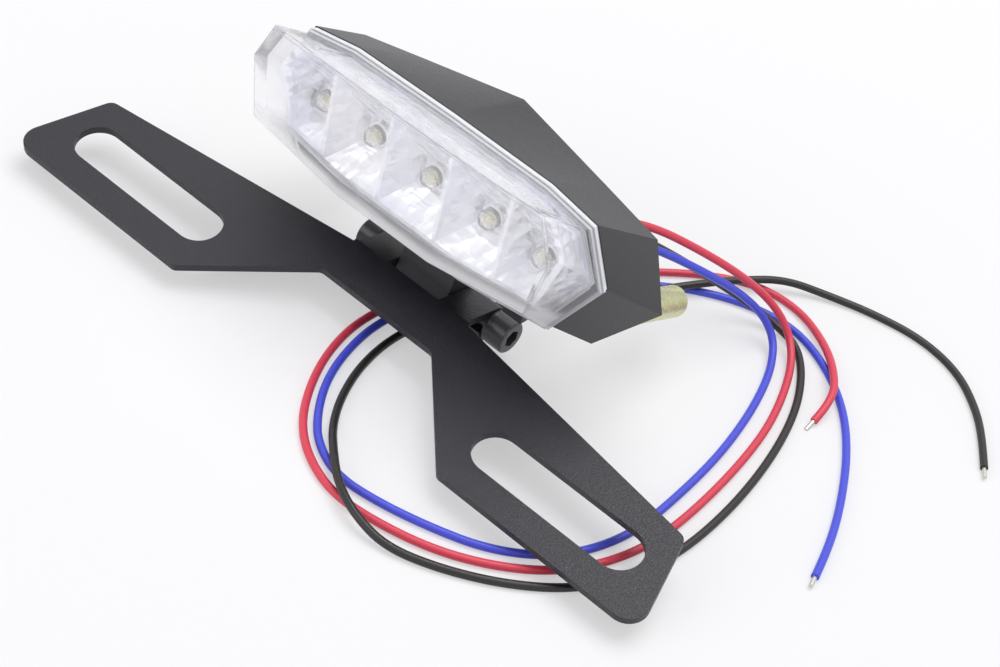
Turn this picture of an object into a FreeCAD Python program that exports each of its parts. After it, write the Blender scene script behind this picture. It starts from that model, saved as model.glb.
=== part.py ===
"""Tail light with a hinged number-plate holder, in millimetres.

X runs along the lamp, Y from the lens to the rear face, Z up.
The origin is on the rear mounting face, midway between the two studs.
"""
import FreeCAD, Part
import math
import os

import Sketcher

Vector = FreeCAD.Vector

SIZES = {
    # Lamp planes, measured forward of the origin
    "front_plane": 33.0,
    "flange_plane": 15.4,
    "rear_lean_deg": 23.0,
    # Front face of the lens: half widths and heights of its corners
    "front_crown_height": 41.3,
    "front_shoulder_half": 28.0,
    "front_shoulder_height": 41.6,
    "front_top_half": 39.6,
    "front_top_height": 42.2,
    "front_tip_half": 44.1,
    "front_tip_height": 31.6,
    "front_heel_half": 41.7,
    "front_heel_height": 15.7,
    "front_sole_half": 14.0,
    "front_sole_height": 11.0,
    # Outline where the lens flange meets the housing
    "flange_crown_height": 35.3,
    "flange_shoulder_half": 29.0,
    "flange_shoulder_height": 34.9,
    "flange_top_half": 42.7,
    "flange_top_height": 32.5,
    "flange_tip_half": 49.5,
    "flange_tip_height": 18.8,
    "flange_heel_half": 38.7,
    "flange_heel_height": -0.3,
    "flange_sole_half": 13.0,
    "flange_sole_height": -4.3,
    # Rear face, heights measured up the leaning face
    "rear_crown_height": 29.8,
    "rear_shoulder_half": 29.0,
    "rear_shoulder_height": 24.0,
    "rear_top_half": 45.6,
    "rear_top_height": 20.6,
    "rear_tip_half": 55.2,
    "rear_tip_height": 6.6,
    "rear_heel_half": 43.4,
    "rear_heel_height": -9.0,
    "rear_sole_half": 14.0,
    "rear_sole_height": -10.5,
    # Walls of the lamp
    "lens_wall": 2.2,
    "lens_lip_height": 0.8,
    "lens_ledge": 0.4,
    "lens_edge_round": 0.8,
    "rim_wall": 5.0,
    "rear_wall": 3.0,
    "cavity_end_wall": 15.0,
    "cavity_shoulder": 4.0,
    "gasket_thickness": 0.8,
    "gasket_margin": 0.3,
    "gasket_width": 3.2,
    # Reflector and its cells
    "reflector_flange": 1.4,
    "reflector_depth": 9.9,
    "reflector_gap": 0.8,
    "cell_pitch": 17.6,
    "cell_rib": 0.5,
    "cell_rim": 1.2,
    "cell_floor": 3.0,
    "cell_depth": 8.0,
    "end_light_offset": 7.0,
    "led_height": 18.4,
    # Board and what is on it
    "board_end_margin": 0.2,
    "board_low": 8.2,
    "board_high": 25.4,
    "board_thickness": 1.6,
    "board_standoff": 1.2,
    "board_post_half": 25.6,
    "board_post_height": 21.7,
    "board_post_radius": 2.5,
    "board_screw_radius": 0.95,
    "board_screw_length": 4.6,
    "board_screw_head_radius": 1.9,
    "board_screw_head_length": 1.3,
    "led_radius": 2.4,
    "led_base_radius": 2.8,
    "led_base_length": 1.0,
    "led_length": 7.2,
    "led_hole_clearance": 0.4,
    "resistor_length": 3.2,
    "resistor_width": 1.6,
    "resistor_thickness": 0.6,
    "resistor_pitch": 11.0,
    "diode_length": 4.4,
    "diode_width": 2.6,
    "diode_thickness": 2.2,
    # Rear fixings and lead outlet
    "stud_half": 44.0,
    "stud_radius": 3.9,
    "stud_length": 31.6,
    "stud_root_radius": 2.6,
    "stud_neck_radius": 3.1,
    "stud_neck_rise": 0.2,
    "stud_seat": 1.5,
    "stud_embed": 5.0,
    "stud_chamfer": 0.8,
    "outlet_half": 24.0,
    "outlet_height": 11.0,
    "grommet_neck_radius": 4.0,
    "grommet_flange_radius": 5.4,
    "grommet_flange_thickness": 1.4,
    "lead_spread": 1.6,
    "lead_inside": 7.5,
    "lead_outside": 4.5,
    "lead_slack": 1.5,
    "lead_board_gap": 0.5,
    # Drain bosses under the shell
    "boss_half": 27.0,
    "boss_width": 5.6,
    "boss_forward": 11.5,
    "boss_length": 4.0,
    "boss_drop": 2.6,
    "boss_height": 4.6,
    # Hinge
    "hinge_forward": 5.3,
    "hinge_drop": 20.7,
    "knuckle_half": 7.9,
    "knuckle_radius": 4.5,
    "knuckle_sink": 1.3,
    "knuckle_brow": 4.2,
    "knuckle_lip": 7.5,
    "knuckle_lip_rise": 3.0,
    "hinge_gap": 0.3,
    "barrel_width": 9.2,
    "screw_radius": 2.5,
    "screw_length": 16.0,
    "screw_head_radius": 4.25,
    "screw_head_length": 5.0,
    "screw_socket_half": 2.0,
    "screw_socket_depth": 2.6,
    "screw_edge_round": 0.4,
    "washer_thickness": 1.2,
    "washer_radius": 4.1,
    "insert_radius": 3.6,
    "insert_length": 5.4,
    "running_clearance": 0.1,
    "thread_clearance": 0.02,
    # Plate bracket, measured from the hinge axis in the plate's own plane
    "plate_lean_deg": 10.7,
    "plate_thickness": 2.0,
    "plate_rise": 8.78,
    "plate_half": 100.0,
    "plate_front": 45.92,
    "plate_end_half": 91.9,
    "plate_end_front": 20.22,
    "wing_inner_half": 42.1,
    "bar_half": 17.7,
    "bar_front": 21.62,
    "bar_back": 9.32,
    "bar_back_half": 18.4,
    "bar_shoulder": 10.25,
    "plate_corner_round": 5.0,
    "plate_end_round": 2.5,
    "wing_inner_round": 2.0,
    "slot_inner_margin": 5.7,
    "slot_end_margin": 8.7,
    "slot_radius": 5.83,
    "slot_front": 32.42,
    "knuckle_roll_deg": 255.0,
    # Leads
    "lead_radius": 1.0,
    "strand_radius": 0.55,
    "strand_length": 3.2,
    "floor_drop": 27.9,
    "seat_back": 14.5,
}

# Routes of the leads over the surface that the lamp lies on: X, Y, Z, with the surface at Z = 0
# and Y counted from the bend line of the bracket. They start at the grommet.
LEAD_ROUTES = {
    "red": [
        (27.5, 32.0, 35.5), (34.0, 41.0, 33.2), (43.0, 50.5, 27.3), (50.5, 60.0, 20.0),
        (56.5, 68.5, 11.5), (62.5, 71.0, 4.8), (68.5, 66.0, 1.7), (74.0, 55.0, 1.05),
        (78.8, 41.0, 1.05), (82.0, 23.0, 1.05), (83.7, 4.0, 1.05), (83.5, -11.0, 1.05),
        (80.0, -24.0, 1.05), (74.0, -34.5, 1.05), (65.0, -43.0, 1.05), (54.0, -49.6, 1.05),
        (41.0, -53.6, 1.05), (28.5, -55.2, 1.05), (17.5, -51.5, 1.05), (9.0, -45.2, 1.05),
        (2.0, -35.5, 1.05), (-3.5, -24.0, 1.05), (-6.5, -11.0, 1.05), (-5.5, 3.0, 1.05),
        (-1.0, 17.0, 1.05), (6.5, 33.0, 1.05), (15.5, 48.5, 1.05), (25.5, 63.5, 1.05),
        (36.0, 75.5, 1.05), (46.5, 82.8, 1.05), (58.5, 83.6, 1.05), (69.5, 78.2, 1.7),
        (78.2, 69.6, 3.6), (84.0, 61.0, 3.6), (84.2, 53.4, 1.1),
    ],
    "blue": [
        (31.0, 31.5, 32.8), (38.0, 40.5, 28.8), (46.5, 50.5, 22.5), (52.0, 60.0, 15.2),
        (56.8, 66.5, 8.0), (61.5, 66.8, 3.3), (66.0, 60.8, 1.3), (69.9, 51.5, 1.05),
        (73.6, 39.0, 1.05), (76.8, 23.0, 1.05), (78.5, 4.0, 1.05), (78.8, -11.0, 1.05),
        (75.5, -23.5, 1.05), (69.5, -33.0, 1.05), (60.5, -40.5, 1.05), (49.5, -45.2, 1.05),
        (37.0, -49.0, 1.05), (25.5, -50.6, 1.05), (15.8, -46.8, 1.05), (9.0, -40.0, 1.05),
        (3.0, -31.0, 1.05), (-1.0, -20.5, 1.05), (-3.2, -8.5, 1.05), (-2.2, 4.5, 1.05),
        (2.5, 17.5, 1.05), (10.5, 33.0, 1.05), (20.0, 48.0, 1.05), (29.5, 60.5, 1.05),
        (39.5, 69.3, 1.05), (50.5, 75.0, 1.05), (62.5, 76.8, 1.05), (75.0, 71.8, 1.05),
        (86.5, 63.0, 1.05), (96.0, 51.0, 1.05), (104.5, 36.0, 1.05), (110.5, 22.5, 1.05),
        (113.7, 12.3, 1.05),
    ],
    "black": [
        (24.5, 33.0, 31.0), (28.5, 43.5, 25.5), (35.0, 53.5, 18.5), (42.3, 62.5, 11.5),
        (50.0, 69.8, 5.5), (57.5, 73.0, 2.0), (65.5, 72.2, 1.05), (72.5, 65.0, 1.05),
        (79.5, 52.5, 1.05), (85.0, 35.0, 1.05), (88.6, 14.5, 1.05), (89.5, -6.0, 1.05),
        (86.5, -22.5, 1.05), (80.0, -35.0, 1.05), (70.0, -45.0, 1.05), (58.0, -52.8, 1.05),
        (46.5, -57.6, 1.4), (37.0, -57.6, 3.5), (28.5, -54.0, 3.8), (20.5, -47.2, 3.5),
        (13.8, -40.0, 1.4), (8.5, -31.5, 1.05), (4.4, -21.0, 1.05), (2.4, -9.0, 1.05),
        (3.5, 4.0, 1.05), (8.0, 17.0, 1.05), (15.5, 32.0, 1.05), (23.5, 46.0, 1.05),
        (30.0, 55.5, 1.6), (36.0, 64.5, 3.6), (43.0, 77.0, 3.8), (50.0, 87.2, 3.6),
        (59.5, 94.2, 1.4), (71.0, 98.8, 1.05), (84.5, 101.3, 1.05), (97.5, 98.6, 1.05),
        (108.0, 90.8, 1.05), (115.2, 82.4, 1.05), (120.4, 74.8, 1.05),
    ],
}
# Places of the three leads round the middle of the grommet, in shares of the lead spread
LEAD_PLACES = {"red": (0.0, -1.0), "blue": (0.9, 0.6), "black": (-0.9, 0.6)}

doc = FreeCAD.newDocument("tail_light")
sheet = doc.addObject("Spreadsheet::Sheet", "Sizes")
for row, (alias, number) in enumerate(SIZES.items(), start=1):
    sheet.set(f"A{row}", alias)
    sheet.set(f"B{row}", str(number))
    sheet.setAlias(f"B{row}", alias)
doc.recompute()


class Size:
    """A length or an angle: its number, and the same sum as an expression on the sheet."""

    def __init__(self, value, text):
        self.value = float(value)
        self.text = text

    def __add__(self, other):
        other = as_size(other)
        return Size(self.value + other.value, f"({self.text} + {other.text})")

    def __sub__(self, other):
        other = as_size(other)
        return Size(self.value - other.value, f"({self.text} - {other.text})")

    def __mul__(self, other):
        other = as_size(other)
        return Size(self.value * other.value, f"({self.text} * {other.text})")

    def __truediv__(self, other):
        other = as_size(other)
        return Size(self.value / other.value, f"({self.text} / {other.text})")

    def __neg__(self):
        return Size(-self.value, f"(0 - {self.text})")

    def __rsub__(self, other):
        return as_size(other) - self


def as_size(number):
    """A plain number as a Size, and a Size as it is."""
    if isinstance(number, Size):
        return number
    return Size(number, repr(float(number)))


def size(alias):
    """The sheet's cell of this name."""
    return Size(sheet.get(alias), f"Sizes.{alias}")


def sine(angle):
    return Size(math.sin(math.radians(angle.value)), f"sin({angle.text})")


def cosine(angle):
    return Size(math.cos(math.radians(angle.value)), f"cos({angle.text})")


def bind(thing, name, amount):
    """Ties one property to the sheet."""
    setattr(thing, name, amount.value)
    thing.setExpression(name, amount.text)


def new_body(label):
    body = doc.addObject("PartDesign::Body", label)
    body.Label = label
    return body


def origin_plane(body, role):
    return next(item for item in body.Origin.OriginFeatures if item.Role == role)


def new_sketch(body, name, role, out=0.0, up=0.0, turn=0.0):
    """A sketch on an origin plane of its body, moved out and up from it and turned about its own X."""
    sketch = body.newObject("Sketcher::SketchObject", name)
    sketch.AttachmentSupport = [(origin_plane(body, role), "")]
    sketch.MapMode = "FlatFace"
    out, up, turn = as_size(out), as_size(up), as_size(turn)
    spin = FreeCAD.Rotation(Vector(1, 0, 0), turn.value)
    sketch.AttachmentOffset = FreeCAD.Placement(Vector(0, up.value, out.value), spin)
    sketch.setExpression("AttachmentOffset.Base.z", out.text)
    sketch.setExpression("AttachmentOffset.Base.y", up.text)
    return sketch


def hold(sketch, kind, geo, end, amount):
    """Holds one end of a line or the centre of a circle at a distance from the sketch's origin."""
    amount = as_size(amount)
    if amount.value >= 0:
        index = sketch.addConstraint(Sketcher.Constraint(kind, -1, 1, geo, end, amount.value))
        sketch.setExpression(f"Constraints[{index}]", amount.text)
    else:
        index = sketch.addConstraint(Sketcher.Constraint(kind, geo, end, -1, 1, -amount.value))
        sketch.setExpression(f"Constraints[{index}]", (-amount).text)


def draw_polygon(sketch, points):
    """A closed outline of straight sides, each corner held by its two sizes."""
    points = [(as_size(x), as_size(y)) for x, y in points]
    first = sketch.GeometryCount
    count = len(points)
    for number in range(count):
        start, end = points[number], points[(number + 1) % count]
        low = Vector(start[0].value, start[1].value, 0)
        high = Vector(end[0].value, end[1].value, 0)
        sketch.addGeometry(Part.LineSegment(low, high))
    for number in range(count):
        follower = first + (number + 1) % count
        sketch.addConstraint(Sketcher.Constraint("Coincident", first + number, 2, follower, 1))
    for number, (x, y) in enumerate(points):
        hold(sketch, "DistanceX", first + number, 1, x)
        hold(sketch, "DistanceY", first + number, 1, y)


def draw_circle(sketch, x, y, radius):
    """A circle held by its centre and radius."""
    x, y, radius = as_size(x), as_size(y), as_size(radius)
    geo = sketch.addGeometry(Part.Circle(Vector(x.value, y.value, 0), Vector(0, 0, 1), radius.value))
    hold(sketch, "DistanceX", geo, 3, x)
    hold(sketch, "DistanceY", geo, 3, y)
    index = sketch.addConstraint(Sketcher.Constraint("Radius", geo, radius.value))
    sketch.setExpression(f"Constraints[{index}]", radius.text)


def pad(body, name, sketch, length, reverse=False, middle=False):
    feature = body.newObject("PartDesign::Pad", name)
    feature.Profile = sketch
    bind(feature, "Length", as_size(length))
    feature.Reversed = reverse
    feature.Midplane = middle
    doc.recompute()
    return feature


def pocket(body, name, sketch, depth, reverse=False, middle=False):
    """A cut from the sketch; it stops the build if nothing is cut away."""
    before = body.Shape.Volume
    feature = body.newObject("PartDesign::Pocket", name)
    feature.Profile = sketch
    bind(feature, "Length", as_size(depth))
    feature.Reversed = reverse
    feature.Midplane = middle
    doc.recompute()
    if body.Shape.Volume >= before - 1e-6:
        raise RuntimeError(f"{name} cuts nothing")
    return feature


def loft(body, name, first, last, cut=False):
    """A straight-sided body, or hollow, between two outlines."""
    kind = "PartDesign::SubtractiveLoft" if cut else "PartDesign::AdditiveLoft"
    feature = body.newObject(kind, name)
    feature.Profile = first
    feature.Sections = [last]
    feature.Ruled = True
    doc.recompute()
    return feature


def round_edges(body, name, chosen, radius, kind="PartDesign::Fillet"):
    """Rounds or chamfers the edges of the body so far that the test picks."""
    base = body.Tip
    picked = [f"Edge{n}" for n, edge in enumerate(base.Shape.Edges, start=1) if chosen(edge)]
    if not picked:
        raise RuntimeError(f"{name} finds no edges")
    feature = body.newObject(kind, name)
    feature.Base = (base, picked)
    bind(feature, "Radius" if kind == "PartDesign::Fillet" else "Size", radius)
    doc.recompute()
    return feature


def copies(label, source, placements):
    """One node of like pieces: copies of a body, each at its own place."""
    shapes = []
    for placement in placements:
        shape = source.Shape.copy()
        shape.Placement = placement.multiply(shape.Placement)
        shapes.append(shape)
    node = doc.addObject("Part::Feature", label)
    node.Label = label
    node.Shape = Part.makeCompound(shapes)
    return node


def plain_node(label, shape):
    node = doc.addObject("Part::Feature", label)
    node.Label = label
    node.Shape = shape
    return node


# Outlines of the lamp: crown, shoulder, top, tip, heel and sole of the right half


def section(part):
    """The named corners of one cross-section."""
    corners = {"crown": (as_size(0.0), size(f"{part}_crown_height"))}
    for corner in ("shoulder", "top", "tip", "heel", "sole"):
        corners[corner] = (size(f"{part}_{corner}_half"), size(f"{part}_{corner}_height"))
    return corners


def inset(corners, wall):
    """The same cross-section with every side moved in by about one wall."""
    wall = as_size(wall)
    shift = {
        "crown": (0.0, -1.0), "shoulder": (0.0, -1.0), "top": (-0.9, -1.0),
        "tip": (-1.15, 0.0), "heel": (-0.8, 0.8), "sole": (0.0, 1.0),
    }
    moved = {}
    for name, (x, y) in corners.items():
        moved[name] = (x + wall * shift[name][0], y + wall * shift[name][1])
    return moved


def blend(first, last, share):
    """The cross-section a share of the way from the first to the last."""
    return {
        name: (x + (last[name][0] - x) * share, y + (last[name][1] - y) * share)
        for name, (x, y) in first.items()
    }


def full_outline(corners):
    """Both halves of a cross-section as one closed run of points."""
    right = [corners[name] for name in ("shoulder", "top", "tip", "heel", "sole")]
    left = [(-x, y) for x, y in reversed(right)]
    return [corners["crown"]] + right + left


def draw_section(body, name, corners, out, up=0.0, turn=0.0):
    sketch = new_sketch(body, name, "XZ_Plane", out, up, turn)
    draw_polygon(sketch, full_outline(corners))
    return sketch


FRONT, FLANGE, REAR = section("front"), section("flange"), section("rear")
REAR_TURN = -size("rear_lean_deg")
rim_plane = size("flange_plane") - size("gasket_thickness")
lens_base_plane = size("flange_plane") + size("lens_lip_height") * 2
lens_base_wall = size("lens_ledge") * 2
lens_cavity = inset(FLANGE, lens_base_wall + size("lens_wall"))
lens_front_plane = size("front_plane") - size("lens_wall")
lens_front_cavity = inset(FRONT, size("lens_wall"))


def make_lens():
    """Clear cap: sloping walls on a stepped flange, hollow behind a flat front face."""
    body = new_body("lens")
    base = draw_section(body, "flange_outline", FLANGE, size("flange_plane"))
    pad(body, "flange", base, size("lens_lip_height"))
    step_plane = size("flange_plane") + size("lens_lip_height")
    step = draw_section(body, "step_outline", inset(FLANGE, size("lens_ledge")), step_plane)
    pad(body, "step", step, size("lens_lip_height"))
    foot = draw_section(body, "wall_foot", inset(FLANGE, lens_base_wall), lens_base_plane)
    face = draw_section(body, "face_outline", FRONT, size("front_plane"))
    loft(body, "walls", foot, face)
    front = -size("front_plane").value

    def on_face(edge):
        return abs(edge.BoundBox.YMax - front) < 1e-4

    round_edges(body, "face_edges", on_face, size("lens_edge_round"))
    mouth = draw_section(body, "hollow_mouth", lens_cavity, size("flange_plane"))
    inner = draw_section(body, "hollow_front", lens_front_cavity, lens_front_plane)
    loft(body, "hollow", mouth, inner, cut=True)
    return body


def hinge_place():
    """The hinge axis: how far forward of the origin and how far below it."""
    return -size("hinge_forward"), -size("hinge_drop")


def make_housing():
    """Black shell from the lens flange to the leaning rear face, with the hinge knuckle under it."""
    body = new_body("lamp_housing")
    rim = draw_section(body, "rim_outline", FLANGE, rim_plane)
    rear = draw_section(body, "rear_outline", REAR, 0.0, 0.0, REAR_TURN)
    loft(body, "shell", rim, rear)

    # The knuckle block grows out of the sloping underside and ends in a half round about the hinge axis
    axis_y, axis_z = hinge_place()
    radius = size("knuckle_radius")
    lean = size("rear_lean_deg")
    sole_y, sole_z = size("rear_sole_height") * sine(lean), size("rear_sole_height") * cosine(lean)
    slope = (sole_z - size("flange_sole_height")) / (sole_y + rim_plane)
    front_y = axis_y - size("knuckle_brow")
    lip_y, lip_z = axis_y - size("knuckle_lip"), axis_z + size("knuckle_lip_rise")
    front_z = size("flange_sole_height") + slope * (front_y + rim_plane) + size("knuckle_sink")
    inner_y = sole_y - size("knuckle_sink") * 0.7
    inner_z = sole_z + size("knuckle_sink")
    block = new_sketch(body, "knuckle_profile", "YZ_Plane")
    corners = [
        (axis_y + radius, axis_z), (axis_y + radius, axis_z + radius * 0.7), (inner_y, inner_z),
        (front_y, front_z), (lip_y, lip_z), (axis_y - radius, axis_z),
    ]
    for start, end in zip(corners, corners[1:]):
        low = Vector(start[0].value, start[1].value, 0)
        block.addGeometry(Part.LineSegment(low, Vector(end[0].value, end[1].value, 0)))
    centre = Vector(axis_y.value, axis_z.value, 0)
    circle = Part.Circle(centre, Vector(0, 0, 1), radius.value)
    bottom = block.addGeometry(Part.ArcOfCircle(circle, math.pi, 2 * math.pi))
    for number in range(len(corners) - 2):
        block.addConstraint(Sketcher.Constraint("Coincident", number, 2, number + 1, 1))
    block.addConstraint(Sketcher.Constraint("Coincident", bottom, 1, bottom - 1, 2))
    block.addConstraint(Sketcher.Constraint("Coincident", bottom, 2, 0, 1))
    for number, (y, z) in enumerate(corners[:-1]):
        hold(block, "DistanceX", number, 1, y)
        hold(block, "DistanceY", number, 1, z)
    hold(block, "DistanceX", bottom, 3, axis_y)
    hold(block, "DistanceY", bottom, 3, axis_z)
    hold(block, "DistanceY", bottom - 1, 2, axis_z)
    pad(body, "knuckle", block, size("knuckle_half") * 2, middle=True)

    low = size("flange_sole_height") - size("boss_drop")
    bosses = new_sketch(body, "boss_outlines", "XY_Plane", low)
    wide, long = size("boss_width") / 2, size("boss_length") / 2
    for side in (1.0, -1.0):
        x, y = size("boss_half") * side, -size("boss_forward")
        draw_polygon(bosses, [
            (x - wide, y - long), (x + wide, y - long), (x + wide, y + long), (x - wide, y + long),
        ])
    pad(body, "bosses", bosses, size("boss_height"))

    # Hollow for the board, open towards the lens and closed by thick ends that hold the studs
    mouth = draw_section(body, "hollow_mouth", inset(FLANGE, size("rim_wall")), rim_plane)
    back = inset(REAR, size("rear_wall"))
    for name in ("top", "tip", "heel"):
        x, y = back[name]
        back[name] = (x - size("cavity_end_wall"), y)
    back["shoulder"] = (back["top"][0] - size("cavity_shoulder"), back["shoulder"][1])
    wall_up, wall_out = size("rear_wall") * sine(lean), size("rear_wall") * cosine(lean)
    floor = draw_section(body, "hollow_back", back, wall_out, wall_up, REAR_TURN)
    loft(body, "hollow", mouth, floor, cut=True)

    holes = new_sketch(body, "stud_holes", "XZ_Plane", 0.0, 0.0, REAR_TURN)
    for side in (1.0, -1.0):
        hole = size("stud_root_radius") + size("thread_clearance")
        draw_circle(holes, size("stud_half") * side, 0.0, hole)
    pocket(body, "stud_sockets", holes, size("stud_embed"), reverse=True)
    seats = new_sketch(body, "stud_seats", "XZ_Plane", 0.0, 0.0, REAR_TURN)
    for side in (1.0, -1.0):
        draw_circle(seats, size("stud_half") * side, 0.0, size("stud_radius") + size("thread_clearance"))
    pocket(body, "stud_recesses", seats, size("stud_seat"), reverse=True)
    outlet = new_sketch(body, "outlet_hole", "XZ_Plane", 0.0, 0.0, REAR_TURN)
    draw_circle(outlet, size("outlet_half"), size("outlet_height"), size("grommet_neck_radius"))
    pocket(body, "lead_outlet", outlet, size("rear_wall") * 2, reverse=True)
    recess = new_sketch(body, "outlet_recess", "XZ_Plane", 0.0, 0.0, REAR_TURN)
    flange = size("grommet_flange_radius") + size("thread_clearance")
    draw_circle(recess, size("outlet_half"), size("outlet_height"), flange)
    pocket(body, "grommet_recess", recess, size("grommet_flange_thickness"), reverse=True)
    bore = new_sketch(body, "insert_bore", "YZ_Plane")
    draw_circle(bore, axis_y, axis_z, size("insert_radius") + size("thread_clearance"))
    pocket(body, "hinge_bore", bore, size("knuckle_half") * 2 + 1.0, middle=True)
    return body


def make_gasket():
    """Flat seal between the lens flange and the housing rim."""
    body = new_body("lens_gasket")
    outline = draw_section(body, "seal_outline", inset(FLANGE, size("gasket_margin")), rim_plane)
    inner = inset(FLANGE, size("gasket_margin") + size("gasket_width"))
    draw_polygon(outline, full_outline(inner))
    pad(body, "seal", outline, size("gasket_thickness"))
    return body


cell_top_plane = rim_plane + size("reflector_depth")


def reflector_rim():
    """Outline of the reflector's front rim, just inside the lens walls there."""
    run = lens_front_plane - size("flange_plane")
    share = (cell_top_plane - size("flange_plane")) / run
    return inset(blend(lens_cavity, lens_front_cavity, share), size("reflector_gap"))


def make_reflector():
    """Tray with a flange on the housing rim and a row of faceted cells, each round one light."""
    body = new_body("reflector")
    flange_wall = lens_base_wall + size("lens_wall") + size("reflector_gap")
    base = draw_section(body, "flange_outline", inset(FLANGE, flange_wall), rim_plane)
    pad(body, "flange", base, size("reflector_flange"))
    foot_plane = rim_plane + size("reflector_flange")
    foot = draw_section(body, "tray_foot", inset(FLANGE, flange_wall + size("reflector_gap")), foot_plane)
    rim = reflector_rim()
    top = draw_section(body, "tray_rim", rim, cell_top_plane)
    loft(body, "tray", foot, top)

    edge = size("cell_rim")
    half = size("cell_pitch") / 2 - size("cell_rib")
    low, high = rim["sole"][1] + edge, rim["crown"][1] - edge - 0.6
    floor_plane = cell_top_plane - size("cell_depth")
    middle, small = size("led_height"), size("cell_floor")
    for number in (-1, 0, 1):
        centre = size("cell_pitch") * number
        mouth = new_sketch(body, f"cell_mouth_{number + 2}", "XZ_Plane", cell_top_plane)
        side = [(centre - half, low), (centre + half, low), (centre + half, high), (centre - half, high)]
        draw_polygon(mouth, side)
        floor = new_sketch(body, f"cell_floor_{number + 2}", "XZ_Plane", floor_plane)
        draw_polygon(floor, [
            (centre - small, middle - small), (centre + small, middle - small),
            (centre + small, middle + small), (centre - small, middle + small),
        ])
        loft(body, f"cell_{number + 2}", mouth, floor, cut=True)

    # The end cells follow the pointed ends of the lamp
    start = size("cell_pitch") * 1.5 + size("cell_rib")
    lean = (rim["heel"][1] - rim["sole"][1]) / (rim["heel"][0] - rim["sole"][0])
    low_start = rim["sole"][1] + lean * (start - rim["sole"][0]) + edge
    mouth_points = [
        (start, low_start), (rim["heel"][0] - edge, rim["heel"][1] + edge),
        (rim["tip"][0] - edge * 1.2, rim["tip"][1]),
        (rim["top"][0] - edge, rim["top"][1] - edge), (start, high),
    ]
    light = end_light()
    floor_points = [
        (light - small, middle - small), (light + small * 0.6, middle - small), (light + small, middle),
        (light + small * 0.6, middle + small), (light - small, middle + small),
    ]
    for side in (1, -1):
        word = "right" if side > 0 else "left"
        mouth = new_sketch(body, f"end_mouth_{word}", "XZ_Plane", cell_top_plane)
        draw_polygon(mouth, [(x * side, y) for x, y in mouth_points])
        floor = new_sketch(body, f"end_floor_{word}", "XZ_Plane", floor_plane)
        draw_polygon(floor, [(x * side, y) for x, y in floor_points])
        loft(body, f"end_cell_{word}", mouth, floor, cut=True)

    posts = new_sketch(body, "post_circles", "XZ_Plane", rim_plane)
    pilots = new_sketch(body, "pilot_circles", "XZ_Plane", rim_plane - size("board_standoff"))
    for side in (1.0, -1.0):
        x, y = size("board_post_half") * side, size("board_post_height")
        draw_circle(posts, x, y, size("board_post_radius"))
        pilot = size("board_screw_radius") + size("thread_clearance")
        draw_circle(pilots, x, y, pilot)
    pad(body, "posts", posts, size("board_standoff"), reverse=True)
    pilot_depth = size("board_screw_length") - size("board_thickness") + size("thread_clearance")
    pocket(body, "pilots", pilots, pilot_depth, reverse=True)
    holes = new_sketch(body, "light_holes", "XZ_Plane", rim_plane)
    for x in led_places():
        draw_circle(holes, x, middle, size("led_base_radius") + size("led_hole_clearance"))
    pocket(body, "light_openings", holes, size("reflector_depth"), reverse=True)
    return body


def end_light():
    """Distance of the end lights from the lamp's middle."""
    return size("cell_pitch") * 1.5 + size("end_light_offset")


def board_half():
    return end_light() + size("led_base_radius") + size("board_end_margin")


def led_places():
    """Distances of the lights from the lamp's middle."""
    pitch, end = size("cell_pitch"), end_light()
    return [-end, -pitch, as_size(0.0), pitch, end]


board_front = rim_plane - size("board_standoff")
board_back = board_front - size("board_thickness")


def make_board():
    """Board behind the reflector, with a hole for each of its screws."""
    body = new_body("circuit_board")
    outline = new_sketch(body, "board_outline", "XZ_Plane", board_back)
    half, low, high = board_half(), size("board_low"), size("board_high")
    draw_polygon(outline, [(-half, low), (half, low), (half, high), (-half, high)])
    for side in (1.0, -1.0):
        hole = size("board_screw_radius") + size("running_clearance")
        draw_circle(outline, size("board_post_half") * side, size("board_post_height"), hole)
    pad(body, "board", outline, size("board_thickness"))
    return body


def turned_body(label, profile):
    """A body turned about its own Z from a profile of radius and height."""
    body = new_body(label)
    sketch = new_sketch(body, f"{label}_profile", "XZ_Plane")
    draw_polygon(sketch, profile)
    feature = body.newObject("PartDesign::Revolution", f"{label}_turning")
    feature.Profile = sketch
    feature.ReferenceAxis = (sketch, ["V_Axis"])
    feature.Angle = 360.0
    doc.recompute()
    return body


def facing(direction, place):
    """A placement that turns Z towards a direction, at a place."""
    return FreeCAD.Placement(place, FreeCAD.Rotation(Vector(0, 0, 1), direction))


FORWARD = Vector(0, -1, 0)


def make_leds():
    """Round lights on the board, each with a base ring and a domed top."""
    radius, base = size("led_radius"), size("led_base_radius")
    length, ring = size("led_length"), size("led_base_length")
    source = turned_body("led_pattern", [
        (0.0, 0.0), (base, 0.0), (base, ring), (radius, ring), (radius, length - radius),
        (radius * 0.87, length - radius * 0.5), (radius * 0.5, length - radius * 0.13), (0.0, length),
    ])
    height = size("led_height").value
    places = [facing(FORWARD, Vector(x.value, -board_front.value, height)) for x in led_places()]
    return copies("leds", source, places)


def make_resistors():
    """Chip resistors in a row on the back of the board."""
    source = new_body("resistor_pattern")
    sketch = new_sketch(source, "resistor_outline", "XY_Plane")
    half, wide = size("resistor_length") / 2, size("resistor_width") / 2
    draw_polygon(sketch, [(-half, -wide), (half, -wide), (half, wide), (-half, wide)])
    pad(source, "resistor_block", sketch, size("resistor_thickness"))
    spin = FreeCAD.Rotation(Vector(1, 0, 0), -90)
    low = (size("board_low") + size("resistor_length")).value
    places = []
    for number in (-2, -1, 0, 1):
        x = (size("resistor_pitch") * (number - 0.2)).value
        places.append(FreeCAD.Placement(Vector(x, -board_back.value, low), spin))
    return copies("resistors", source, places)


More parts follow.
